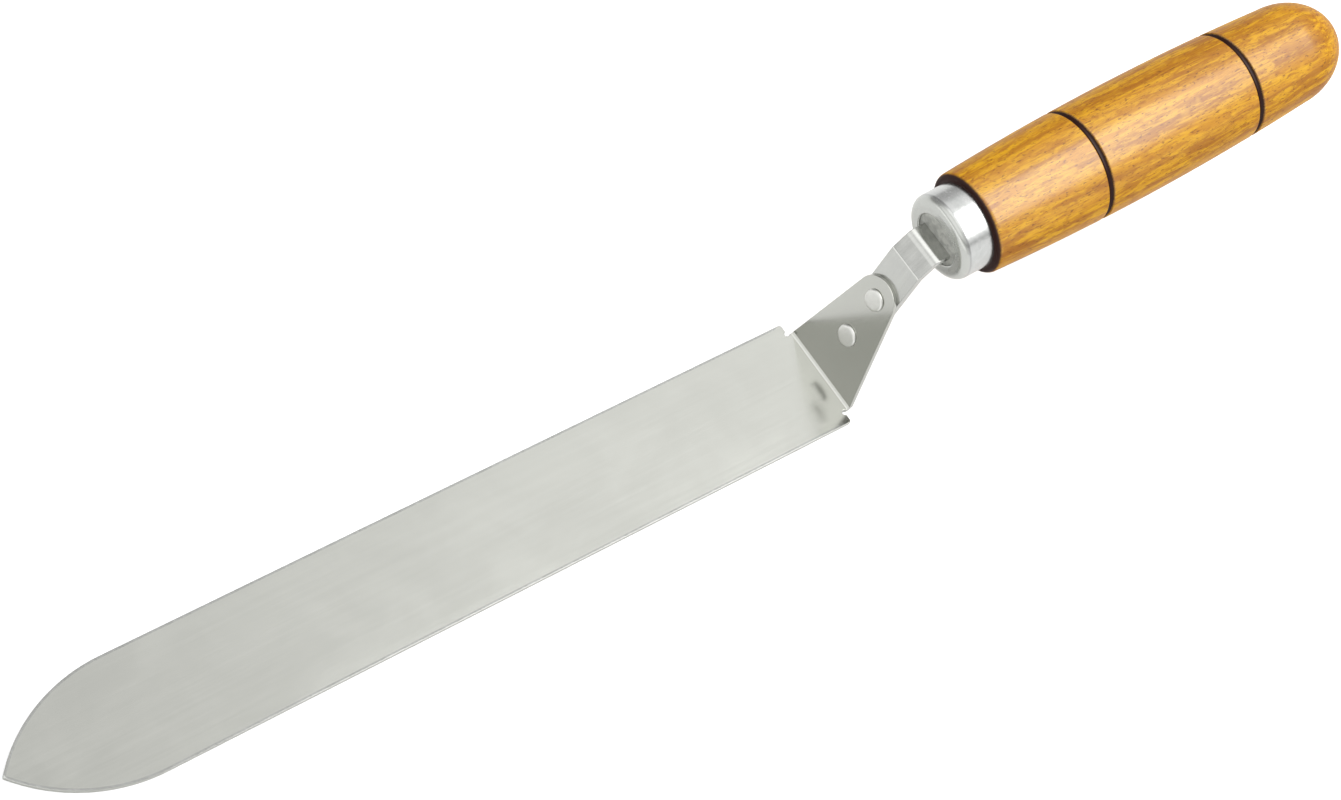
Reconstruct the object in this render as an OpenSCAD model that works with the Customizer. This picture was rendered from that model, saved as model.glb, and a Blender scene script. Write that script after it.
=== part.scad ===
// Long offset-blade knife with a cranked tang, a metal ferrule and a turned wooden handle.
// Frame: +X runs from the blade's tip to the handle's butt, +Z is up, the blade's underside is at Z = 0
// and the origin is under the middle of the knife's length.

/* [Blade] */
// Length of the flat blade, from the heel to the tip
blade_l = 250; // [180:1:320]
// Width of the blade
blade_w = 35; // [30:0.5:45]
// Thickness of the sheet that the blade and its neck are cut from
sheet_t = 1.2; // [0.8:0.1:2]
// Length over which the two sides curve in to the tip
tip_l = 36; // [24:1:60]

/* [Neck] */
// Width of the neck where it leaves the heel
neck_base_w = 27.6; // [22:0.1:29]
// Margin that the neck's rounded end leaves beyond the strip's sides
neck_margin = 1; // [0.5:0.1:3]
// Angle between the neck and the blade
neck_angle = 74; // [60:0.5:80]
// Inside radius of the bend at the heel
heel_bend_r = 1; // [0.6:0.1:3]
// Length of the short tab between the heel and the bend
heel_tab_l = 0.9; // [0.4:0.1:3]
// Radius of the relief cut at each side of the tab
relief_r = 0.8; // [0.4:0.1:1.5]

/* [Rivets] */
// Diameter of a rivet's shank
rivet_d = 4; // [2.5:0.1:5]
// Diameter of a rivet's head
rivet_head_d = 6.4; // [5:0.1:9]
// Height of a rivet's head
rivet_head_h = 0.8; // [0.4:0.1:1.5]
// Distance up the neck, from the bend, to the lower rivet
rivet_low = 16.2; // [12:0.1:18]
// Distance up the neck, from the bend, to the upper rivet
rivet_high = 32; // [28:0.1:36]
// Radial gap between a rivet's shank and the sheet round it
rivet_gap = 0.05; // [0.02:0.01:0.1]

/* [Tang] */
// Width of the tang strip
tang_w = 12; // [9:0.1:15]
// Thickness of the tang strip
tang_t = 2; // [1.5:0.1:3]
// Bare run of the strip between the neck's end and the corner of the first bend
tang_bare = 8.5; // [5:0.1:12]
// Length of the cranked run, from corner to corner
crank_run = 6.9; // [5:0.1:10]
// Angle of the short cranked run between the two bends, to the blade
crank_angle = 50; // [40:1:56]
// Radius of the first bend, on the back of the strip
first_bend_r = 0.6; // [0.4:0.1:2]
// Radius of the second bend, on the back of the strip
second_bend_r = 2; // [1:0.1:3]
// Straight run from the corner of the second bend to the ferrule's face
tang_stub = 4.2; // [3:0.1:5]
// Depth that the tang reaches behind the ferrule's face
tang_depth = 55; // [30:1:70]
// Width of the tang's tapered end
tang_end_w = 7; // [4:0.5:9]
// Length of the tang's taper
tang_taper_l = 14; // [8:1:20]
// Distance from the lower rivet's centre to the tang's foot
tang_lap = 7.5; // [6.5:0.1:9]
// How much the radius of the tang's foot is more than half the strip's width
tang_foot_more = 2; // [1.2:0.1:6]

/* [Ferrule] */
// Outer diameter of the ferrule
ferrule_d = 25; // [24:0.5:32]
// Length of the ferrule
ferrule_l = 10; // [8:0.5:14]
// Wall of the ferrule
ferrule_wall = 0.8; // [0.6:0.1:1.4]
// Thickness of the ferrule's front face
ferrule_face_t = 1.2; // [0.8:0.1:2]
// Radius of the ferrule's rounded front edge
ferrule_edge_r = 2.6; // [1.5:0.1:3.2]

/* [Handle] */
// Length of the wood behind the ferrule
handle_l = 130; // [105:1:156]
// How far the handle's belly stands out past the ferrule, all round
belly_proud = 4; // [3.2:0.1:7]
// Distance from the ferrule's face to the belly
belly_at = 66; // [50:1:75]
// Radius of the long curve of the handle's side
belly_curve_r = 900; // [700:10:1500]
// Length of the rounded butt
butt_l = 18; // [14:0.5:24]
// Rounding of the shoulder behind the ferrule
shoulder_r = 1.4; // [0.5:0.1:2]
// Distance from the ferrule's face to the front groove
groove_front = 47.5; // [35:0.5:58]
// Distance from the rear groove to the end of the butt
groove_rear = 38.4; // [30:0.1:45]
// Width of a groove
groove_w = 1.8; // [1:0.1:3]
// Depth of a groove
groove_deep = 0.8; // [0.4:0.1:1.5]
// Gap between the tang's corners and the wall of its hole in the wood
tang_hole_gap = 0.6; // [0.3:0.1:1]
// Depth of the hole behind the tang's end
hole_spare = 3; // [1:0.5:8]

/* [Bedding] */
// How far the ferrule's opening is wider than the hole in the wood, all round
opening_lip = 1.1; // [0.6:0.1:1.4]
// Depth of the recess between the ferrule's face and the bedding
bedding_recess = 0.6; // [0.3:0.1:0.7]

/* [Placing] */
// Angle that the handle rises towards its butt
handle_tilt = 5.5; // [3:0.5:8]

/* [Hidden] */
$fn = 96;
// Overlap that joins two shapes of one piece
join = 0.2;
// Overshoot that lets a cut clear a face
over = 1;

// Tip: each side is an arc that is tangent to the blade's straight edge
tip_arc_r = (tip_l ^ 2 + (blade_w / 2) ^ 2) / blade_w;

// Neck: the corner where its front meets the blade's top, and its straight taper to the rounded end
neck_end_r = tang_w / 2 + neck_margin;
neck_start = heel_bend_r * tan(neck_angle / 2);
corner = [heel_tab_l + neck_start, sheet_t];
taper_l = rivet_high - neck_start;
taper = acos(neck_end_r / norm([neck_base_w / 2, taper_l])) - atan2(taper_l, neck_base_w / 2);

// Directions along a run and out of its lower side
function along(a) = [cos(a), sin(a)];
function across(a) = [sin(a), -cos(a)];

// Strip: the corners of its front surface, and the handle's axis where it crosses the ferrule's face
neck_top = rivet_high + neck_end_r;
back_of_neck = corner + sheet_t * across(neck_angle);
first_corner = back_of_neck + (neck_top + tang_bare) * along(neck_angle);
second_corner = first_corner + crank_run * along(crank_angle);
face_point = second_corner + tang_stub * along(handle_tilt);
tang_foot = rivet_low - tang_lap;
tang_foot_r = tang_w / 2 + tang_foot_more;
first_out_r = first_bend_r + tang_t;
second_out_r = second_bend_r + tang_t;

// Overall length behind the heel, and the shift that puts the origin under the middle
grip_l = ferrule_l + handle_l;
behind_heel = face_point.x + grip_l * cos(handle_tilt);
middle_shift = (blade_l - behind_heel) / 2;

// Points along an arc, from one angle to another
function arc(centre, r, from, to, steps) =
    [for (i = [0 : steps]) centre + r * along(from + (to - from) * i / steps)];

// Handle: its hole, and its radius at a distance from the ferrule's face
belly_r = ferrule_d / 2 + belly_proud;
tang_hole_d = norm([tang_w, tang_t]) + 2 * tang_hole_gap;
ferrule_hole_d = tang_hole_d + 2 * opening_lip;
butt_start = grip_l - butt_l;
function barrel_r(t) = belly_r - belly_curve_r + sqrt(belly_curve_r ^ 2 - (t - belly_at) ^ 2);
function butt_r(t) = barrel_r(butt_start) * sqrt(max(0, 1 - ((t - butt_start) / butt_l) ^ 2));
tenon_r = ferrule_d / 2 - ferrule_wall;
hole_l = tang_depth + hole_spare;
groove_r = (groove_w ^ 2 / 4 + groove_deep ^ 2) / (2 * groove_deep);

// Puts a side view, drawn with X along the knife and Y as height, into place as a plate of width w
module side_plate(w) {
    rotate([90, 0, 0]) linear_extrude(w, center = true) children();
}

// Puts a shape into the neck's frame: X up the neck, Z out of its front
module on_neck() {
    translate([corner.x, 0, corner.y]) rotate([0, -neck_angle, 0]) children();
}

// Puts a turned shape, drawn along Z, on the handle's axis behind the ferrule's face
module on_axis() {
    translate([face_point.x, 0, face_point.y]) rotate([0, 90 - handle_tilt, 0]) children();
}

module rivet_holes() {
    for (u = [rivet_low, rivet_high]) {
        on_neck()
            translate([u, 0, -sheet_t - tang_t - over])
                cylinder(r = rivet_d / 2 + rivet_gap, h = sheet_t + tang_t + 2 * over);
    }
}

// Plan of the flat blade: two straight sides, and two arcs that meet at the tip
module blade_outline() {
    half_w = blade_w / 2;
    arc_x = tip_l - blade_l;
    arc_y = tip_arc_r - half_w;
    sweep = asin(tip_l / tip_arc_r);
    polygon(concat(
        [[0, half_w]],
        arc([arc_x, -arc_y], tip_arc_r, 90, 90 + sweep, 24),
        arc([arc_x, arc_y], tip_arc_r, 270 - sweep, 270, 24),
        [[0, -half_w]]
    ));
}

// What is cut away round the neck, in its own frame: outside a straight taper and a rounded end
module neck_offcut() {
    lead = neck_start / 2;
    lead_v = neck_base_w / 2 + lead * tan(taper);
    far_v = neck_base_w / 2 + over;
    polygon(concat(
        [[neck_start - lead, -lead_v]],
        arc([rivet_high, 0], neck_end_r, taper - 90, 90 - taper, 32),
        [[neck_start - lead, lead_v], [neck_start - lead, far_v]],
        [[neck_top + 2 * over, far_v], [neck_top + 2 * over, -far_v]],
        [[neck_start - lead, -far_v]]
    ));
}

// The tab, the bend at the heel and the neck, seen from the side
module neck_view() {
    centre = [heel_tab_l, sheet_t + heel_bend_r];
    bend_stop = neck_angle - 90;
    top = corner + (neck_top + over) * along(neck_angle);
    polygon(concat(
        [[-over, sheet_t], [-over, 0]],
        arc(centre, heel_bend_r + sheet_t, -90, bend_stop, 12),
        [top + sheet_t * across(neck_angle), top],
        arc(centre, heel_bend_r, bend_stop, -90, 12)
    ));
}

// One sheet: the flat blade, a tab, the bend and the tapered neck
module blade() {
    color("gainsboro") translate([middle_shift, 0, 0]) difference() {
        union() {
            linear_extrude(sheet_t) blade_outline();
            side_plate(neck_base_w) neck_view();
        }
        on_neck() translate([0, 0, -sheet_t - over]) linear_extrude(sheet_t + 2 * over) neck_offcut();
        for (side = [-1, 1]) {
            translate([0, side * (neck_base_w / 2 + relief_r / 2), -over])
                cylinder(r = relief_r, h = sheet_t + 2 * over);
        }
        rivet_holes();
    }
}

// The whole strip, seen from the side: up its front surface, round both bends, and back down its rear
module strip_view() {
    foot = back_of_neck + tang_foot * along(neck_angle);
    first_trim = first_out_r * tan((neck_angle - crank_angle) / 2);
    second_trim = second_out_r * tan((crank_angle - handle_tilt) / 2);
    first_start = first_corner - first_trim * along(neck_angle);
    second_stop = second_corner + second_trim * along(handle_tilt);
    first_centre = first_start + first_out_r * across(neck_angle);
    second_centre = second_stop + second_out_r * across(handle_tilt);
    deep_end = face_point + tang_depth * along(handle_tilt);
    polygon(concat(
        [foot],
        arc(first_centre, first_out_r, neck_angle + 90, crank_angle + 90, 8),
        arc(second_centre, second_out_r, crank_angle + 90, handle_tilt + 90, 12),
        [deep_end, deep_end + tang_t * across(handle_tilt)],
        arc(second_centre, second_bend_r, handle_tilt + 90, crank_angle + 90, 12),
        arc(first_centre, first_bend_r, crank_angle + 90, neck_angle + 90, 8),
        [foot + tang_t * across(neck_angle)]
    ));
}

// What is cut from the strip's two ends: all past its curved foot, and the taper inside the handle
module strip_ends() {
    far_y = tang_w / 2 + over;
    sweep = asin(far_y / tang_foot_r);
    on_neck() translate([tang_foot, 0, -sheet_t - tang_t - over]) linear_extrude(tang_t + 2 * over)
        polygon(concat(
            [[-over, far_y]],
            [[-over, -far_y]],
            arc([tang_foot_r, 0], tang_foot_r, 180 + sweep, 180 - sweep, 24)
        ));
    slope = (tang_w - tang_end_w) / 2 / tang_taper_l;
    on_axis() rotate([90, 0, 90]) linear_extrude(tang_w, center = true) {
        for (side = [-1, 1]) {
            polygon([
                [side * (tang_end_w / 2 - slope * over), tang_depth + over],
                [side * far_y, tang_depth - tang_taper_l - over / slope],
                [side * far_y, tang_depth + over]
            ]);
        }
    }
}

// The strip before its rivet holes are drilled
module strip() {
    difference() {
        side_plate(tang_w) strip_view();
        strip_ends();
    }
}

// One cranked strip, riveted behind the neck and set into the handle
module tang() {
    color("silver") translate([middle_shift, 0, 0]) difference() {
        strip();
        rivet_holes();
    }
}

// A rivet with a low domed head on both sides, standing on the neck's frame at its place
module rivet(u) {
    shank_l = sheet_t + tang_t;
    dome_r = ((rivet_head_d / 2) ^ 2 + rivet_head_h ^ 2) / (2 * rivet_head_h);
    on_neck() translate([u, 0, -shank_l / 2]) {
        cylinder(d = rivet_d, h = shank_l + 2 * join, center = true);
        for (side = [0, 1]) {
            mirror([0, 0, side]) translate([0, 0, shank_l / 2]) intersection() {
                translate([0, 0, rivet_head_h - dome_r]) sphere(dome_r);
                cylinder(d = rivet_head_d, h = rivet_head_h);
            }
        }
    }
}

module lower_rivet() {
    color("whitesmoke") translate([middle_shift, 0, 0]) rivet(rivet_low);
}

module upper_rivet() {
    color("whitesmoke") translate([middle_shift, 0, 0]) rivet(rivet_high);
}

// A drawn cup with a rounded front edge and a round opening for the tang
module ferrule() {
    outer_r = ferrule_d / 2;
    color("lightgray") translate([middle_shift, 0, 0]) on_axis() rotate_extrude() difference() {
        union() {
            translate([0, ferrule_edge_r]) square([outer_r, ferrule_l - ferrule_edge_r]);
            square([outer_r - ferrule_edge_r, ferrule_edge_r + join]);
            translate([outer_r - ferrule_edge_r, ferrule_edge_r]) circle(ferrule_edge_r);
        }
        translate([-over, ferrule_face_t]) square([tenon_r + over, ferrule_l]);
        translate([-over, -over]) square([ferrule_hole_d / 2 + over, ferrule_face_t + 2 * over]);
    }
}

// Side of the turned handle, from the ferrule's back edge to the butt
module handle_side() {
    barrel_steps = 12;
    butt_steps = 20;
    barrel_start = ferrule_l + shoulder_r;
    polygon([
        [0, ferrule_face_t],
        [tenon_r, ferrule_face_t],
        [tenon_r, ferrule_l],
        [barrel_r(ferrule_l) - shoulder_r, ferrule_l],
        for (i = [0 : barrel_steps - 1])
            let (t = barrel_start + (butt_start - barrel_start) * i / barrel_steps) [barrel_r(t), t],
        for (i = [0 : butt_steps])
            let (t = butt_start + butt_l * sin(90 * i / butt_steps)) [butt_r(t), t]
    ]);
    translate([barrel_r(barrel_start) - shoulder_r, barrel_start]) circle(shoulder_r);
}

module handle() {
    color("peru") translate([middle_shift, 0, 0]) on_axis() difference() {
        rotate_extrude() difference() {
            handle_side();
            for (t = [groove_front, grip_l - groove_rear]) {
                translate([barrel_r(t) - groove_deep + groove_r, t]) circle(groove_r);
            }
        }
        cylinder(d = tang_hole_d, h = hole_l);
    }
}

// The filler that fixes the tang in the handle's hole and closes the ferrule's opening
module tang_bedding() {
    color("darkgray") translate([middle_shift, 0, 0]) difference() {
        on_axis() {
            translate([0, 0, bedding_recess]) cylinder(d = ferrule_hole_d, h = ferrule_face_t - bedding_recess);
            translate([0, 0, bedding_recess]) cylinder(d = tang_hole_d, h = hole_l - bedding_recess);
        }
        strip();
    }
}

blade();
tang();
lower_rivet();
upper_rivet();
ferrule();
handle();
tang_bedding();
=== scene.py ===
import math

import bmesh
import bpy
from mathutils import Matrix, Vector, noise


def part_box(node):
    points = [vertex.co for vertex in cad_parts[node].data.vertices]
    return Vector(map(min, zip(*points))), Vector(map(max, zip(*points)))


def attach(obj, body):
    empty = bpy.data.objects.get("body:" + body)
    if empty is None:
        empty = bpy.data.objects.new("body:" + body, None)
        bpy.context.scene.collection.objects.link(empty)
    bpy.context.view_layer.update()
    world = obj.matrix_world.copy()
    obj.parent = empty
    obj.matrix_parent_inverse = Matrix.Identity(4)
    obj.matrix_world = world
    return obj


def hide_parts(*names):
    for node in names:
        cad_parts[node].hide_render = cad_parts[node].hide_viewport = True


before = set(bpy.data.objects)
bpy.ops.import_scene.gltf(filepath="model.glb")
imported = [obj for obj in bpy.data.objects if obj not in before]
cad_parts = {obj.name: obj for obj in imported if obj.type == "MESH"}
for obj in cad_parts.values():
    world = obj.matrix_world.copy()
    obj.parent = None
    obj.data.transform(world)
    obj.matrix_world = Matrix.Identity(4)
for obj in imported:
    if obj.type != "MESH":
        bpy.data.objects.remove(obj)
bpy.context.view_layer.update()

# Pieces are drawn in millimetres and scaled to metres when they are finished.
MM = 0.001
BODY = "root"

# Tolerances in millimetres: where a point touches a line or a plane, where two points are one,
# and where a point lies clear of a cut
TOUCH = 1e-5
NEAR = 1e-4
CLEAR = 1e-3

# Steps round a turned piece, and the edges that are rounded: how sharp, and in how many strips
TURN_STEPS = 128
SHARP_ANGLE = 35
EDGE_SEGMENTS = 3

# Blade and neck
BLADE_L = 250
SHEET_T = 1.2
TIP_L = 36
HEEL_CORNER_R = 0.8
GRIND_W = 0.7
GRIND_DROP = 0.03
NECK_BASE_W = 27.6
NECK_END_R = 7
NECK_ANGLE = 74
HEEL_BEND_R = 1
HEEL_TAB_L = 0.9
RELIEF_R = 0.8
RELIEF_SWEEP = 240
SHEET_EDGE_R = 0.16

# Rivets
RIVET_HEIGHTS = {"lower_rivet": 16.2, "upper_rivet": 32}
RIVET_R = 2
RIVET_HEAD_R = 3.2
RIVET_HEAD_H = 0.8
RIVET_CROWN_R = 2.3
RIVET_RIM_H = 0.3
RIVET_UNDERCUT = 0.15
DENT_DEPTH = 0.05
DENTS_PER_MM = 0.7

# Tang
TANG_W = 12
TANG_T = 2
TANG_BARE = 8.5
TANG_FOOT = 8.7
TANG_FOOT_R = 8
CRANK_RUN = 6.9
CRANK_ANGLE = 50
FIRST_BEND_R = 0.6
SECOND_BEND_R = 2
TANG_STUB = 4.2
TANG_DEPTH = 55
TANG_END_W = 7
TANG_TAPER_L = 14
TANG_EDGE_R = 0.25

# Ferrule
FERRULE_R = 12.5
FERRULE_L = 10
FERRULE_WALL = 0.8
FACE_T = 1.2
FERRULE_EDGE_R = 2.6
OPENING_R = 7.78
LIP_R = 0.35
FERRULE_BACK_R = 0.3

# Handle
GRIP_L = 140
BELLY_R = 16.5
BELLY_AT = 66
BELLY_CURVE_R = 900
BUTT_L = 18
SHOULDER_R = 1.4
GROOVES = (47.5, 101.6)
GROOVE_W = 1.8
GROOVE_DEEP = 0.8
GROOVE_EASE = 0.25
TANG_HOLE_R = 6.68
HOLE_PAST_TANG = 3
HANDLE_TILT = 5.5

# Where the heel, the neck's corner and the handle's axis lie, from the frame
blade_low, blade_high = (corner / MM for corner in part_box("blade"))
HALF_W = blade_high.y
HEEL = Vector((blade_low.x + BLADE_L, 0, SHEET_T))


def run(angle, length):
    """A step in the X-Z plane, at an angle above the blade."""
    a = math.radians(angle)
    return Vector((math.cos(a), 0, math.sin(a))) * length


NECK_START = HEEL_BEND_R * math.tan(math.radians(NECK_ANGLE / 2))
NECK_TOP = RIVET_HEIGHTS["upper_rivet"] + NECK_END_R
NECK_CORNER = HEEL + Vector((HEEL_TAB_L + NECK_START, 0, 0))
NECK_BACK = NECK_CORNER + run(NECK_ANGLE - 90, SHEET_T)
FIRST_CORNER = NECK_BACK + run(NECK_ANGLE, NECK_TOP + TANG_BARE)
SECOND_CORNER = FIRST_CORNER + run(CRANK_ANGLE, CRANK_RUN)
FACE_POINT = SECOND_CORNER + run(HANDLE_TILT, TANG_STUB)


def upright(origin, angle):
    """A frame on the X-Z plane: its X runs along the angle, its Z stands out on the front side."""
    return Matrix.Translation(origin) @ Matrix.Rotation(-math.radians(angle), 4, "Y")


ON_NECK = upright(NECK_CORNER, NECK_ANGLE)
AXIS_TURN = math.radians(90 - HANDLE_TILT)
ON_AXIS = Matrix.Translation(FACE_POINT) @ Matrix.Rotation(AXIS_TURN, 4, "Y")

# The same axis for patterns, in metres: where it starts and how it is turned
AXIS_FRAME = FACE_POINT * MM, (0, AXIS_TURN, 0)


# ---------------------------------------------------------------- mesh helpers


def pen_down(bm, point):
    """Starts an outline at a point, and returns its vertex."""
    return bmesh.ops.create_vert(bm, co=point)["vert"][0]


def line_to(bm, vert, x, y, z=0):
    """Draws an edge from a vertex to a point, on the sheet unless z is given, and returns its end."""
    new = bmesh.ops.extrude_vert_indiv(bm, verts=[vert])["verts"][0]
    bmesh.ops.translate(bm, verts=[new], vec=Vector((x, y, z)) - new.co)
    return new


def arc_to(bm, vert, centre, degrees, steps):
    """Draws an arc from a vertex round a centre, and returns its last vertex."""
    made = bmesh.ops.spin(
        bm, geom=[vert], cent=(*centre, 0), axis=(0, 0, 1), angle=math.radians(degrees), steps=steps
    )
    return [g for g in made["geom_last"] if isinstance(g, bmesh.types.BMVert)][0]


def sheet_from_half(bm, thickness):
    """Fills half an outline, mirrors it across the middle and gives it its thickness, downwards."""
    bmesh.ops.remove_doubles(bm, verts=bm.verts, dist=TOUCH)
    bmesh.ops.contextual_create(bm, geom=bm.edges[:])
    bmesh.ops.mirror(bm, geom=bm.verts[:] + bm.edges[:] + bm.faces[:], axis="Y", merge_dist=NEAR)
    middle = [e for e in bm.edges if all(abs(v.co.y) < NEAR for v in e.verts)]
    bmesh.ops.dissolve_edges(bm, edges=middle, use_verts=False)
    bmesh.ops.recalc_face_normals(bm, faces=bm.faces)
    for face in bm.faces:
        if face.normal.z < 0:
            face.normal_flip()
    top = bm.faces[:]
    made = bmesh.ops.extrude_face_region(bm, geom=top, use_keep_orig=True)
    lower = [g for g in made["geom"] if isinstance(g, bmesh.types.BMVert)]
    bmesh.ops.translate(bm, verts=lower, vec=(0, 0, -thickness))
    bmesh.ops.recalc_face_normals(bm, faces=bm.faces)


def cut_across(bm, x):
    """Cuts new edges across the sheet, square to its length."""
    everything = bm.verts[:] + bm.edges[:] + bm.faces[:]
    bmesh.ops.bisect_plane(bm, geom=everything, plane_co=(x, 0, 0), plane_no=(1, 0, 0), dist=TOUCH)


def bend_length(radius, degrees, steps):
    """The flat length that a bend of so many small folds takes up."""
    return 2 * radius * math.sin(math.radians(abs(degrees) / steps / 2)) * steps


def fold(bm, start, radius, degrees, steps):
    """Bends the sheet about its upper side, past x = start: up where the angle is positive."""
    length = bend_length(radius, degrees, steps) / steps
    cuts = [start + length * i for i in range(steps + 1)]
    for x in cuts:
        cut_across(bm, x)
    beyond = [[v for v in bm.verts if v.co.x > x + CLEAR] for x in cuts]
    for i in reversed(range(steps + 1)):
        share = 0.5 if i in (0, steps) else 1
        turn = Matrix.Rotation(-math.radians(degrees / steps * share), 3, "Y")
        bmesh.ops.rotate(bm, verts=beyond[i], cent=(cuts[i], 0, 0), matrix=turn)


def soften(bm, radius):
    """Rounds every sharp edge."""
    edges = [e for e in bm.edges if e.is_manifold and e.calc_face_angle(0) > math.radians(SHARP_ANGLE)]
    bmesh.ops.bevel(
        bm, geom=edges, offset=radius, offset_type="OFFSET", affect="EDGES", segments=EDGE_SEGMENTS,
        profile=0.5, material=-1, clamp_overlap=True,
    )


def turned(profile):
    """A solid turned round Z, from a list of (radius, height)."""
    bm = bmesh.new()
    start_r, start_z = profile[0]
    pen = pen_down(bm, (start_r, 0, start_z))
    for r, z in profile[1:]:
        pen = line_to(bm, pen, r, 0, z)
    bmesh.ops.spin(
        bm, geom=bm.verts[:] + bm.edges[:], cent=(0, 0, 0), axis=(0, 0, 1), angle=math.tau,
        steps=TURN_STEPS, use_merge=True,
    )
    bmesh.ops.remove_doubles(bm, verts=bm.verts, dist=NEAR)
    bmesh.ops.recalc_face_normals(bm, faces=bm.faces)
    return bm


def curve(centre, radius, start, stop, steps):
    """Points (radius, height) round an arc, between two angles in degrees."""
    angles = (math.radians(start + (stop - start) * i / steps) for i in range(steps + 1))
    return [(centre[0] + radius * math.cos(a), centre[1] + radius * math.sin(a)) for a in angles]


def finish_piece(node, bm, place, finishes, crisp=()):
    """Puts a piece in its place, in metres, and has it stand for its CAD node."""
    name = node + "_piece"
    bmesh.ops.transform(bm, matrix=Matrix.Scale(MM, 4) @ place, verts=bm.verts)
    for face in bm.faces:
        face.smooth = True
    for edge in crisp:
        edge.smooth = False
    mesh = bpy.data.meshes.new(name)
    bm.to_mesh(mesh)
    bm.free()
    for finish in finishes:
        mesh.materials.append(finish)
    piece = bpy.data.objects.new(name, mesh)
    bpy.context.scene.collection.objects.link(piece)
    normals = piece.modifiers.new("face_normals", "WEIGHTED_NORMAL")
    normals.keep_sharp = True
    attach(piece, BODY)
    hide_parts(node)


# ---------------------------------------------------------------- material helpers


class Nodes:
    """Short calls for the nodes that a material or the studio walls are built from."""

    def __init__(self, owner, shader, coordinates):
        owner.use_nodes = True
        self.tree = owner.node_tree
        self.shader = self.tree.nodes[shader]
        self.coordinates = self.add("ShaderNodeTexCoord").outputs[coordinates]

    def add(self, kind, **settings):
        node = self.tree.nodes.new(kind)
        for key, value in settings.items():
            setattr(node, key, value)
        return node

    def feed(self, socket, value):
        """Links a socket to another, or sets it to a number or a colour."""
        if isinstance(value, bpy.types.NodeSocket):
            self.tree.links.new(value, socket)
        else:
            socket.default_value = value

    def frame(self, scale, origin=(0, 0, 0), rotation=(0, 0, 0)):
        """Coordinates in a turned frame, scaled to cells of noise per metre along each of its axes."""
        place = self.add("ShaderNodeMapping", vector_type="TEXTURE")
        self.feed(place.inputs["Vector"], self.coordinates)
        place.inputs["Location"].default_value = origin
        place.inputs["Rotation"].default_value = rotation
        stretch = self.add("ShaderNodeVectorMath", operation="MULTIPLY")
        self.feed(stretch.inputs[0], place.outputs["Vector"])
        stretch.inputs[1].default_value = scale
        return stretch.outputs["Vector"]

    def noise(self, vector, scale, detail=3, rough=0.5, warp=0):
        node = self.add("ShaderNodeTexNoise")
        self.feed(node.inputs["Vector"], vector)
        node.inputs["Scale"].default_value = scale
        node.inputs["Detail"].default_value = detail
        node.inputs["Roughness"].default_value = rough
        node.inputs["Distortion"].default_value = warp
        return node.outputs["Fac"]

    def span(self, value, low, high, to_low=0.0, to_high=1.0):
        """Maps a value smoothly from one span to another, held at both ends."""
        node = self.add("ShaderNodeMapRange", interpolation_type="SMOOTHSTEP")
        self.feed(node.inputs["Value"], value)
        for key, number in zip(("From Min", "From Max", "To Min", "To Max"), (low, high, to_low, to_high)):
            self.feed(node.inputs[key], number)
        return node.outputs["Result"]

    def sum(self, kind, a, b=0.0, c=0.0):
        """One step of arithmetic on values."""
        node = self.add("ShaderNodeMath", operation=kind)
        for socket, value in zip(node.inputs, (a, b, c)):
            self.feed(socket, value)
        return node.outputs["Value"]

    def blend(self, amount, a, b):
        """Mixes two colours: all a at 0, all b at 1."""
        node = self.add("ShaderNodeMix", data_type="RGBA")
        self.feed(node.inputs["Factor"], amount)
        self.feed(node.inputs[6], a)
        self.feed(node.inputs[7], b)
        return node.outputs[2]

    def split(self, vector):
        node = self.add("ShaderNodeSeparateXYZ")
        self.feed(node.inputs["Vector"], vector)
        return node.outputs

    def bump(self, height, distance, under=None):
        """Raises the surface by a height, 0 to 1, of a distance in metres."""
        node = self.add("ShaderNodeBump")
        self.feed(node.inputs["Height"], height)
        node.inputs["Distance"].default_value = distance
        node.inputs["Strength"].default_value = 1.0
        if under is not None:
            self.feed(node.inputs["Normal"], under)
        return node.outputs["Normal"]


class Finish(Nodes):
    """A material on object coordinates."""

    def __init__(self, name):
        self.material = bpy.data.materials.new(name)
        super().__init__(self.material, "Principled BSDF", "Object")

    def surface(self, **values):
        """Feeds the shader's sockets by name, and returns the material."""
        for key, value in values.items():
            self.feed(self.shader.inputs[key.replace("_", " ")], value)
        return self.material


def grey(level):
    return (level, level, level, 1)


# ---------------------------------------------------------------- finishes


def blade_steel():
    """Satin stainless sheet: fine lengthwise polish and faint clouds."""
    f = Finish("blade_steel")
    dull, bright = (0.45, 0.455, 0.423, 1), (0.478, 0.483, 0.45, 1)
    lines = f.noise(f.frame((12, 900, 300)), 1, 4, 0.6)
    fine = f.noise(f.frame((60, 4200, 1500)), 1, 2, 0.5)
    clouds = f.noise(f.coordinates, 38, 4, 0.6, 0.6)
    waves = f.noise(f.coordinates, 17, 1, 0.4)
    polish = f.sum("MULTIPLY_ADD", lines, 0.6, f.sum("MULTIPLY", fine, 0.4))
    tone = f.span(f.sum("MULTIPLY_ADD", clouds, 0.6, f.sum("MULTIPLY", polish, 0.4)), 0.3, 0.7)
    colour = f.blend(tone, dull, bright)
    rough = f.span(f.sum("MULTIPLY_ADD", clouds, 0.5, f.sum("MULTIPLY", polish, 0.5)), 0.3, 0.7, 0.11, 0.16)
    normal = f.bump(waves, 0.015 * MM)
    normal = f.bump(polish, 0.0012 * MM, under=normal)
    return f.surface(Base_Color=colour, Metallic=1.0, Roughness=rough, Normal=normal)


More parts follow.
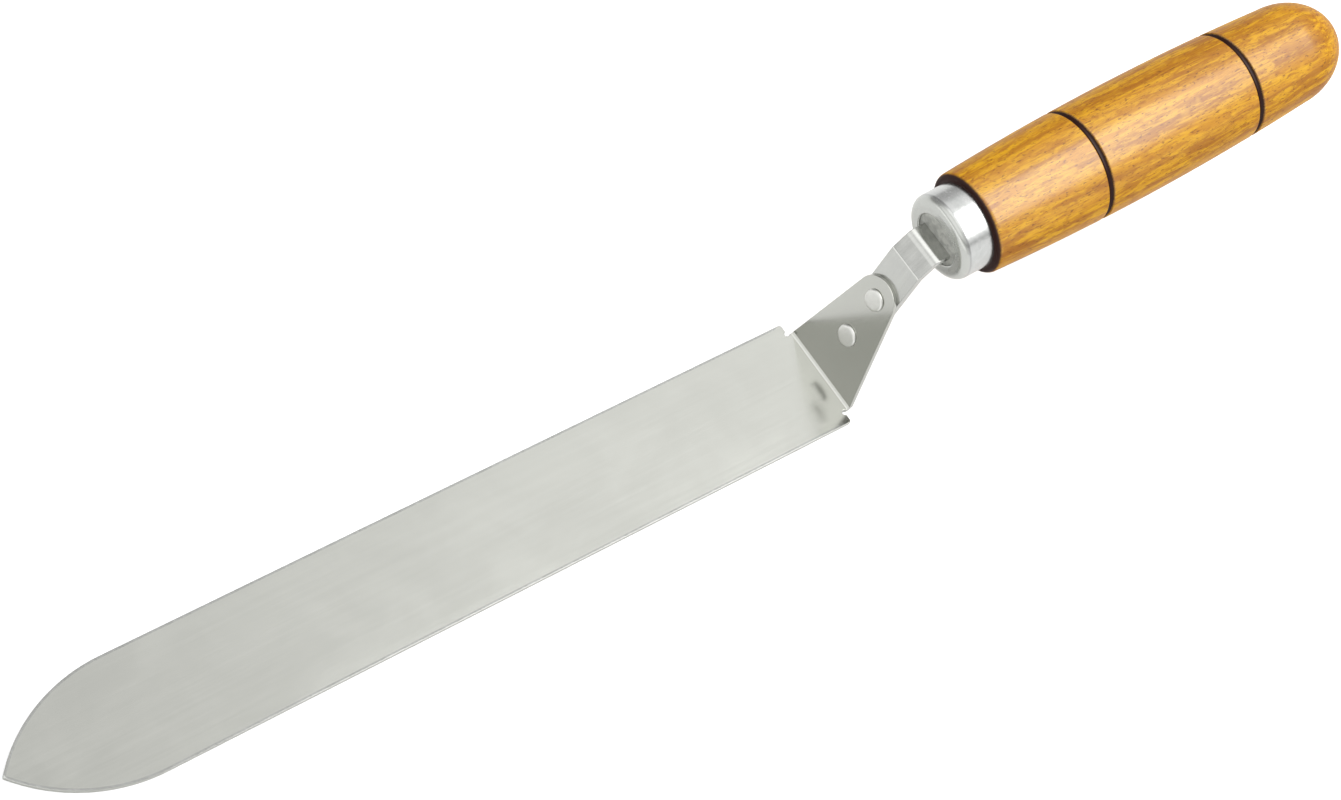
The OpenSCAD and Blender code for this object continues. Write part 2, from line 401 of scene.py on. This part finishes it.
def ground_steel():
    """The ground edge of the blade: darker, with scratches that cross it, and a few worn spots."""
    f = Finish("ground_steel")
    dull, bright = (0.32, 0.325, 0.31, 1), (0.395, 0.40, 0.385, 1)
    scratches = f.noise(f.frame((5200, 260, 900), rotation=(0, 0, 0.5)), 1, 3, 0.6)
    wear = f.noise(f.coordinates, 210, 3, 0.6)
    tone = f.span(f.sum("MULTIPLY_ADD", wear, 0.5, f.sum("MULTIPLY", scratches, 0.5)), 0.35, 0.65)
    colour = f.blend(tone, dull, bright)
    rough = f.span(scratches, 0.3, 0.7, 0.14, 0.22)
    normal = f.bump(scratches, 0.003 * MM)
    return f.surface(Base_Color=colour, Metallic=1.0, Roughness=rough, Normal=normal)


def tang_steel():
    """Mill-finished strip steel: streaks along its length and faint clouds."""
    f = Finish("tang_steel")
    dull, bright = (0.45, 0.455, 0.435, 1), (0.52, 0.525, 0.50, 1)
    along = f.frame((1, 1, 1), FACE_POINT * MM, (0, math.radians(-NECK_ANGLE), 0))
    lines = f.noise(f.frame((60, 1400, 60)), 1, 4, 0.6)
    clouds = f.noise(along, 120, 4, 0.6, 0.5)
    tone = f.span(f.sum("MULTIPLY_ADD", clouds, 0.6, f.sum("MULTIPLY", lines, 0.4)), 0.3, 0.7)
    colour = f.blend(tone, dull, bright)
    rough = f.span(clouds, 0.3, 0.7, 0.16, 0.26)
    normal = f.bump(f.sum("MULTIPLY_ADD", lines, 0.5, clouds), 0.008 * MM)
    return f.surface(Base_Color=colour, Metallic=1.0, Roughness=rough, Normal=normal)


def rivet_steel():
    """Hammered rivet heads: lighter metal, dull, with small dents."""
    f = Finish("rivet_steel")
    dull, bright = (0.59, 0.595, 0.565, 1), (0.67, 0.67, 0.64, 1)
    dents = f.noise(f.coordinates, 900, 2, 0.5)
    grain = f.noise(f.coordinates, 4000, 3, 0.6)
    colour = f.blend(f.span(grain, 0.35, 0.65), dull, bright)
    rough = f.span(grain, 0.3, 0.7, 0.30, 0.42)
    normal = f.bump(f.sum("MULTIPLY_ADD", grain, 0.15, dents), 0.04 * MM)
    return f.surface(Base_Color=colour, Metallic=1.0, Roughness=rough, Normal=normal)


def ferrule_aluminium():
    """Spun aluminium: bright, with fine rings round the axis, a few rubs, a painted dark reflection line in
    the front edge's rounding and painted shade on the front face.
    """
    f = Finish("ferrule_aluminium")
    dull, bright = (0.475, 0.485, 0.475, 1), (0.54, 0.545, 0.535, 1)
    painted_shade_face_tone, painted_reflection_tone = (0.49, 0.50, 0.475, 1), (0.25, 0.255, 0.25, 1)
    rings_per_metre = 5000.0
    painted_reflection_at = 2.1 * MM
    axis = f.frame((1, 1, 1), *AXIS_FRAME)
    x, y, z = f.split(axis)
    radius = f.sum("SQRT", f.sum("MULTIPLY_ADD", x, x, f.sum("MULTIPLY", y, y)))
    ring = f.add("ShaderNodeCombineXYZ")
    f.feed(ring.inputs["X"], f.sum("MULTIPLY", radius, rings_per_metre))
    f.feed(ring.inputs["Z"], f.sum("MULTIPLY", z, rings_per_metre))
    rings = f.noise(ring.outputs["Vector"], 1, 3, 0.6)
    rubs = f.noise(axis, 320, 4, 0.65, 0.8)
    colour = f.blend(f.span(rubs, 0.35, 0.65), dull, bright)
    # The front face and the start of its rounding painted a little darker: painted shade for the shadow and
    # dark reflections that fall on the face
    face = f.span(z, 1.2 * MM, 2.4 * MM, 1.0, 0.0)
    colour = f.blend(face, colour, painted_shade_face_tone)
    # A dark line painted round the front edge's rounding, 2.1 mm back from the face: a painted reflection
    # of a dark band
    line = f.span(f.sum("ABSOLUTE", f.sum("SUBTRACT", z, painted_reflection_at)), 0.1 * MM, 0.45 * MM, 0.4, 0.0)
    colour = f.blend(line, colour, painted_reflection_tone)
    rough = f.span(f.sum("MULTIPLY_ADD", rubs, 0.6, f.sum("MULTIPLY", rings, 0.4)), 0.3, 0.7, 0.19, 0.29)
    normal = f.bump(rings, 0.003 * MM)
    return f.surface(Base_Color=colour, Metallic=1.0, Roughness=rough, Normal=normal)


def handle_wood():
    """Amber hardwood under clear lacquer, with the grooves and the front shoulder burnt dark."""
    f = Finish("handle_wood")
    brown, amber = (0.27, 0.098, 0.003, 1), (0.42, 0.185, 0.004, 1)
    gold, honey = (0.535, 0.28, 0.005, 1), (0.58, 0.315, 0.012, 1)
    russet, umber = (0.27, 0.092, 0.004, 1), (0.25, 0.083, 0.004, 1)
    pore, char = (0.11, 0.03, 0.003, 1), (0.018, 0.003, 0.001, 1)
    bands = f.noise(f.frame((150, 150, 9), *AXIS_FRAME), 1, 3, 0.5, 1.2)
    streaks = f.noise(f.frame((520, 520, 60), *AXIS_FRAME), 1, 4, 0.7, 0.6)
    mottle = f.noise(f.frame((900, 900, 260), *AXIS_FRAME), 1, 3, 0.6, 0.4)
    fibres = f.noise(f.frame((3000, 3000, 260), *AXIS_FRAME), 1, 3, 0.6)
    flecks = f.noise(f.frame((2200, 2200, 700), *AXIS_FRAME), 1, 2, 0.5)
    figure = f.noise(f.frame((260, 260, 150), *AXIS_FRAME), 1, 2, 0.5)
    colour = f.blend(f.span(bands, 0.35, 0.65), brown, amber)
    colour = f.blend(f.span(streaks, 0.44, 0.60, 0.0, 0.85), colour, gold)
    colour = f.blend(f.span(mottle, 0.50, 0.68, 0.0, 0.6), colour, russet)
    colour = f.blend(f.span(fibres, 0.50, 0.70, 0.0, 0.5), colour, umber)
    colour = f.blend(f.span(flecks, 0.60, 0.68, 0.0, 0.7), colour, pore)
    colour = f.blend(f.span(figure, 0.58, 0.75, 0.0, 0.35), colour, honey)
    # Burnt parts, by the distance along the axis, with an edge that wanders 0.2 mm either way
    t = f.split(f.frame((1, 1, 1), *AXIS_FRAME))["Z"]
    wander = f.sum("MULTIPLY_ADD", fibres, 0.4 * MM, -0.2 * MM)
    t = f.sum("ADD", t, wander)
    shoulder = (FERRULE_L + 0.2 * SHOULDER_R) * MM, (FERRULE_L + 0.65 * SHOULDER_R) * MM
    burnt = f.span(t, *shoulder, 1.0, 0.0)
    for middle in GROOVES:
        off = f.sum("ABSOLUTE", f.sum("SUBTRACT", t, middle * MM))
        band = f.span(off, GROOVE_W * 0.36 * MM, GROOVE_W * 0.6 * MM, 1.0, 0.0)
        burnt = f.sum("MAXIMUM", burnt, band)
    colour = f.blend(burnt, colour, char)
    rough = f.span(streaks, 0.3, 0.7, 0.38, 0.5)
    pores = f.sum("MULTIPLY_ADD", flecks, -1.0, f.sum("MULTIPLY", fibres, -0.35))
    normal = f.bump(pores, 0.05 * MM)
    # The lacquer shines where the surface is seen square on, and hardly at all where the wood is burnt
    f.shader.inputs["Specular IOR Level"].default_value = 0.08
    edge_on = f.add("ShaderNodeLayerWeight")
    edge_on.inputs["Blend"].default_value = 0.5
    gloss = f.span(edge_on.outputs["Facing"], 0.03, 0.5, 1.0, 0.04)
    gloss = f.sum("MULTIPLY", gloss, f.sum("MULTIPLY_ADD", burnt, -0.8, 1.0))
    f.feed(f.shader.inputs["Coat Weight"], gloss)
    f.shader.inputs["Coat Roughness"].default_value = 0.28
    f.shader.inputs["Coat IOR"].default_value = 1.7
    return f.surface(Base_Color=colour, Roughness=rough, Normal=normal)


def bedding_compound():
    """Grey filler, mottled and slightly rough."""
    f = Finish("bedding_compound")
    dull, bright = (0.26, 0.265, 0.245, 1), (0.42, 0.425, 0.39, 1)
    mottle = f.noise(f.coordinates, 520, 4, 0.65, 0.4)
    grain = f.noise(f.coordinates, 3200, 3, 0.6)
    colour = f.blend(f.span(mottle, 0.35, 0.65), dull, bright)
    rough = f.span(grain, 0.3, 0.7, 0.4, 0.6)
    normal = f.bump(f.sum("MULTIPLY_ADD", grain, 0.2, mottle), 0.12 * MM)
    return f.surface(Base_Color=colour, Metallic=0.35, Roughness=rough, Normal=normal)


def floor_paper():
    """Pale paper, nearly white to the camera and a little greyer in reflections."""
    f = Finish("floor_paper")
    fibre = f.noise(f.coordinates, 900, 3, 0.6)
    colour = f.blend(f.span(fibre, 0.3, 0.7), grey(0.69), grey(0.72))
    seen = f.add("ShaderNodeLightPath").outputs["Is Camera Ray"]
    colour = f.blend(seen, colour, grey(0.96))
    return f.surface(Base_Color=colour, Roughness=0.9)


# ---------------------------------------------------------------- pieces


def blade():
    """One sheet: the flat blade with ground edges, the tab, the bend and the riveted neck."""
    bend_steps, tip_steps, corner_steps, relief_steps, crown_steps = 10, 40, 6, 14, 24
    bend_l = bend_length(HEEL_BEND_R, NECK_ANGLE, bend_steps)
    neck_from = HEEL_TAB_L + bend_l - NECK_START
    tip_arc_r = (TIP_L ** 2 + HALF_W ** 2) / (2 * HALF_W)
    half_base = NECK_BASE_W / 2
    taper_l = RIVET_HEIGHTS["upper_rivet"] - NECK_START
    taper = math.acos(NECK_END_R / math.hypot(half_base, taper_l)) - math.atan2(taper_l, half_base)
    round_at = neck_from + RIVET_HEIGHTS["upper_rivet"]
    relief_y = half_base + RELIEF_R / 2

    bm = bmesh.new()
    pen = tip = pen_down(bm, (-BLADE_L, 0, 0))
    sweep = math.degrees(math.asin(TIP_L / tip_arc_r))
    pen = arc_to(bm, pen, (TIP_L - BLADE_L, HALF_W - tip_arc_r), -sweep, tip_steps)
    pen = line_to(bm, pen, -HEEL_CORNER_R, HALF_W)
    pen = arc_to(bm, pen, (-HEEL_CORNER_R, HALF_W - HEEL_CORNER_R), -90, corner_steps)
    pen = line_to(bm, pen, 0, relief_y + RELIEF_R)
    pen = arc_to(bm, pen, (0, relief_y), RELIEF_SWEEP, relief_steps)
    pen = line_to(bm, pen, HEEL_TAB_L + bend_l, half_base)
    lean = math.pi / 2 - taper
    pen = line_to(bm, pen, round_at + NECK_END_R * math.cos(lean), NECK_END_R * math.sin(lean))
    pen = arc_to(bm, pen, (round_at, 0), -math.degrees(lean), crown_steps)
    line_to(bm, pen, *tip.co.xy)
    sheet_from_half(bm, SHEET_T)

    # The ground edge: a narrow facet that falls to the two sides and the tip
    grind_stop = -2 * HEEL_CORNER_R
    upwards = 0.5
    cut_across(bm, grind_stop)
    flat = [f for f in bm.faces if f.normal.z > upwards and f.calc_center_median().x < grind_stop]
    rim = {v for f in flat for v in f.verts if v.co.x < grind_stop - 10 * CLEAR}
    ground = bmesh.ops.inset_region(bm, faces=flat, thickness=GRIND_W, use_even_offset=True)["faces"]
    for face in ground:
        face.material_index = int(any(v in rim for v in face.verts))
    bmesh.ops.translate(bm, verts=[v for v in rim if v.is_valid], vec=(0, 0, -GRIND_DROP))
    fold(bm, HEEL_TAB_L, HEEL_BEND_R, NECK_ANGLE, bend_steps)
    soften(bm, SHEET_EDGE_R)
    crisp = [e for e in bm.edges if {f.material_index for f in e.link_faces} == {0, 1}]
    finishes = blade_steel(), ground_steel()
    finish_piece("blade", bm, Matrix.Translation(HEEL), finishes, crisp)


def tang():
    """One strip: up the back of the neck, cranked twice and on into the handle."""
    first_r, second_r = FIRST_BEND_R + TANG_T, SECOND_BEND_R + TANG_T
    first_turn, second_turn = NECK_ANGLE - CRANK_ANGLE, CRANK_ANGLE - HANDLE_TILT
    first_trim = first_r * math.tan(math.radians(first_turn / 2))
    second_trim = second_r * math.tan(math.radians(second_turn / 2))
    first_steps, second_steps, foot_steps = 8, 12, 12
    first_at = NECK_TOP + TANG_BARE - TANG_FOOT - first_trim
    first_end = first_at + bend_length(first_r, first_turn, first_steps)
    second_at = first_end + CRANK_RUN - first_trim - second_trim
    second_end = second_at + bend_length(second_r, second_turn, second_steps)
    end = second_end + TANG_STUB - second_trim + TANG_DEPTH
    half_w = TANG_W / 2

    bm = bmesh.new()
    pen = foot = pen_down(bm, (0, 0, 0))
    sweep = math.degrees(math.asin(half_w / TANG_FOOT_R))
    pen = arc_to(bm, pen, (TANG_FOOT_R, 0), -sweep, foot_steps)
    pen = line_to(bm, pen, end - TANG_TAPER_L, half_w)
    pen = line_to(bm, pen, end, TANG_END_W / 2)
    pen = line_to(bm, pen, end, 0)
    line_to(bm, pen, *foot.co.xy)
    sheet_from_half(bm, TANG_T)
    fold(bm, second_at, second_r, -second_turn, second_steps)
    fold(bm, first_at, first_r, -first_turn, first_steps)
    soften(bm, TANG_EDGE_R)
    place = upright(NECK_BACK + run(NECK_ANGLE, TANG_FOOT), NECK_ANGLE)
    finish_piece("tang", bm, place, [tang_steel()])


def rivet(name, height, material):
    """A hammered rivet: a low uneven head on both sides of the neck and the tang."""
    shank_l = SHEET_T + TANG_T
    slope_r, slope_h = RIVET_HEAD_R - RIVET_CROWN_R, RIVET_HEAD_H - RIVET_RIM_H
    head = [(0, RIVET_HEAD_H), (RIVET_CROWN_R / 2, RIVET_HEAD_H)]
    for degrees in range(10, 91, 10):
        a = math.radians(degrees)
        head.append((RIVET_CROWN_R + slope_r * math.sin(a), RIVET_RIM_H + slope_h * math.cos(a)))
    head += [(RIVET_HEAD_R, RIVET_RIM_H / 2), (RIVET_HEAD_R - RIVET_UNDERCUT, 0)]
    profile = head + [(RIVET_R, 0), (RIVET_R, -shank_l)]
    profile += [(r, -shank_l - z) for r, z in reversed(head)]
    bm = turned(profile)
    for vert in bm.verts:
        if abs(vert.co.z + shank_l / 2) > shank_l / 2 + RIVET_RIM_H:
            vert.co.z += DENT_DEPTH * noise.noise(vert.co * DENTS_PER_MM + Vector((height, 0, 0)))
            vert.co.z = min(RIVET_HEAD_H, max(-shank_l - RIVET_HEAD_H, vert.co.z))
    place = ON_NECK @ Matrix.Translation((height, 0, 0))
    finish_piece(name, bm, place, [material])


def ferrule():
    """A drawn cup with a rounded front edge and a round opening with an eased lip."""
    tenon_r = FERRULE_R - FERRULE_WALL
    profile = [(OPENING_R, FACE_T)]
    profile += curve((OPENING_R + LIP_R, LIP_R), LIP_R, 180, 270, 6)
    profile += curve((FERRULE_R - FERRULE_EDGE_R, FERRULE_EDGE_R), FERRULE_EDGE_R, 270, 360, 18)
    profile += curve((FERRULE_R - FERRULE_BACK_R, FERRULE_L - FERRULE_BACK_R), FERRULE_BACK_R, 0, 90, 4)
    profile += [(tenon_r, FERRULE_L), (tenon_r, FACE_T), (OPENING_R, FACE_T)]
    finish_piece("ferrule", turned(profile), ON_AXIS, [ferrule_aluminium()])


def barrel_r(t):
    """The handle's radius at a distance along its axis."""
    return BELLY_R - BELLY_CURVE_R + math.sqrt(BELLY_CURVE_R ** 2 - (t - BELLY_AT) ** 2)


def handle():
    """Turned wood: a tenon in the ferrule, a long barrel with two grooves, and a rounded butt."""
    tenon_r = FERRULE_R - FERRULE_WALL
    hole_l = TANG_DEPTH + HOLE_PAST_TANG
    butt_from = GRIP_L - BUTT_L
    barrel_from = FERRULE_L + SHOULDER_R
    barrel_steps, butt_steps = 10, 24
    profile = [(0, hole_l), (TANG_HOLE_R, hole_l), (TANG_HOLE_R, FACE_T)]
    profile += [(tenon_r, FACE_T), (tenon_r, FERRULE_L)]
    profile += curve((barrel_r(barrel_from) - SHOULDER_R, barrel_from), SHOULDER_R, 270, 360, 8)[:-1]
    stops = [barrel_from]
    for middle in GROOVES:
        stops += [middle - GROOVE_W / 2 - GROOVE_EASE, middle + GROOVE_W / 2 + GROOVE_EASE]
    stops.append(butt_from)
    for i in range(len(stops) // 2):
        start, stop = stops[2 * i:2 * i + 2]
        along = (start + (stop - start) * j / barrel_steps for j in range(barrel_steps + 1))
        profile += [(barrel_r(t), t) for t in along]
        if i < len(GROOVES):
            profile += groove(GROOVES[i])
    for i in range(1, butt_steps + 1):
        a = math.pi / 2 * i / butt_steps
        profile.append((barrel_r(butt_from) * math.cos(a), butt_from + BUTT_L * math.sin(a)))
    finish_piece("handle", turned(profile), ON_AXIS, [handle_wood()])


def groove(middle):
    """A round-bottomed groove with eased edges, as points (radius, distance)."""
    r = barrel_r(middle)
    half = GROOVE_W / 2
    wall_r, floor_r = half * 0.8, GROOVE_DEEP * 0.55
    left = curve((r - GROOVE_EASE, middle - half - GROOVE_EASE), GROOVE_EASE, 25, 75, 2)
    bottom = []
    for degrees in range(-75, 76, 15):
        a = math.radians(degrees)
        bottom.append((r - GROOVE_DEEP + floor_r * (1 - math.cos(a)), middle + wall_r * math.sin(a)))
    right = [(p, 2 * middle - t) for p, t in reversed(left)]
    return left + bottom + right


def tang_bedding():
    """The filler keeps its CAD shape, in a finish of its own."""
    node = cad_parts["tang_bedding"]
    node.data.materials.clear()
    node.data.materials.append(bedding_compound())


# ---------------------------------------------------------------- studio


def camera():
    """A long lens from above the blade's side, turned so that the knife crosses the view."""
    aim = Vector((0.0017, 0.0122, 0))
    distance, azimuth, elevation, lean = 0.8276, -53.81, 57.12, 22.86
    a, e, r = (math.radians(angle) for angle in (azimuth, elevation, lean))
    back = Vector((math.sin(a) * math.cos(e), -math.cos(a) * math.cos(e), math.sin(e)))
    right = Vector((math.cos(a), math.sin(a), 0))
    up = back.cross(right)
    across = right * math.cos(r) + up * math.sin(r)
    turn = Matrix((across, back.cross(across), back)).transposed()
    data = bpy.data.cameras.new("camera")
    data.sensor_width = 36
    data.lens = 81.21
    data.clip_start = 0.01
    view = bpy.data.objects.new("camera", data)
    view.matrix_world = Matrix.Translation(aim + back * distance) @ turn.to_4x4()
    bpy.context.scene.collection.objects.link(view)
    bpy.context.scene.camera = view


def floor():
    """A wide round floor under the blade."""
    bm = bmesh.new()
    bmesh.ops.create_circle(bm, cap_ends=True, segments=96, radius=4)
    mesh = bpy.data.meshes.new("floor")
    bm.to_mesh(mesh)
    bm.free()
    mesh.materials.append(floor_paper())
    ground = bpy.data.objects.new("floor", mesh)
    bpy.context.scene.collection.objects.link(ground)


def softbox(name, place, target, size, power):
    """A flat square-cornered lamp that points at a target."""
    data = bpy.data.lights.new(name, "AREA")
    data.shape = "RECTANGLE"
    data.size, data.size_y = size
    data.energy = power
    lamp = bpy.data.objects.new(name, data)
    lamp.location = place
    lamp.rotation_euler = (Vector(place) - Vector(target)).to_track_quat("Z", "Y").to_euler()
    bpy.context.scene.collection.objects.link(lamp)


def studio():
    """Pale walls, whose level goes by the direction they lie in, and one softbox overhead."""
    world = bpy.data.worlds.new("studio")
    bpy.context.scene.world = world
    w = Nodes(world, "Background", "Generated")
    x, y, z = w.split(w.coordinates)
    # Brighter to the right, and to the left both low down and high up
    right = w.span(x, 0.12, 0.48, 0.95, 1.40)
    left_side = w.span(x, -0.7, -0.3, 1.0, 0.0)
    left = w.sum("MULTIPLY_ADD", w.span(z, 0.3, 0.5), 0.72, w.span(z, 0.1, 0.24, 1.1, -0.17))
    # A bright patch overhead, a little to the left
    top = w.sum("MULTIPLY", w.span(x, -0.45, -0.2), w.span(x, 0.09, 0.16, 1.1, 0.0))
    top = w.sum("MULTIPLY", top, w.span(z, 0.76, 0.88))
    # A dark strip across the front
    front = w.span(y, -0.7, -0.4, 1.0, 0.0)
    strip = w.span(w.sum("ABSOLUTE", w.sum("SUBTRACT", z, 0.335)), 0.02, 0.1, 0.7, 0.05)
    # All together, dimmer at the back
    level = w.sum("ADD", top, w.sum("MULTIPLY_ADD", left, left_side, right))
    level = w.sum("MULTIPLY", level, w.span(y, 0.6, 0.85, 1.0, 0.45))
    level = w.sum("MULTIPLY", level, w.sum("SUBTRACT", 1.0, w.sum("MULTIPLY", front, strip)))
    # The walls themselves are seen as plain white
    seen = w.add("ShaderNodeLightPath").outputs["Is Camera Ray"]
    pick = w.add("ShaderNodeMix")
    w.feed(pick.inputs["Factor"], seen)
    w.feed(pick.inputs["A"], level)
    w.feed(pick.inputs["B"], 1.0)
    w.feed(w.shader.inputs["Strength"], pick.outputs["Result"])
    w.feed(w.shader.inputs["Color"], grey(1))
    softbox("key_softbox", place=(0.62, -0.5, 1.15), target=(0.62, -0.5, 0), size=(0.85, 1.53), power=14)


# ---------------------------------------------------------------- the knife in its studio


studio()
camera()
floor()
blade()
tang()
rivets = rivet_steel()
for rivet_name, rivet_height in RIVET_HEIGHTS.items():
    rivet(rivet_name, rivet_height, rivets)
ferrule()
handle()
tang_bedding()

scene = bpy.context.scene
scene.view_settings.view_transform = "Standard"
scene.view_settings.look = "None"
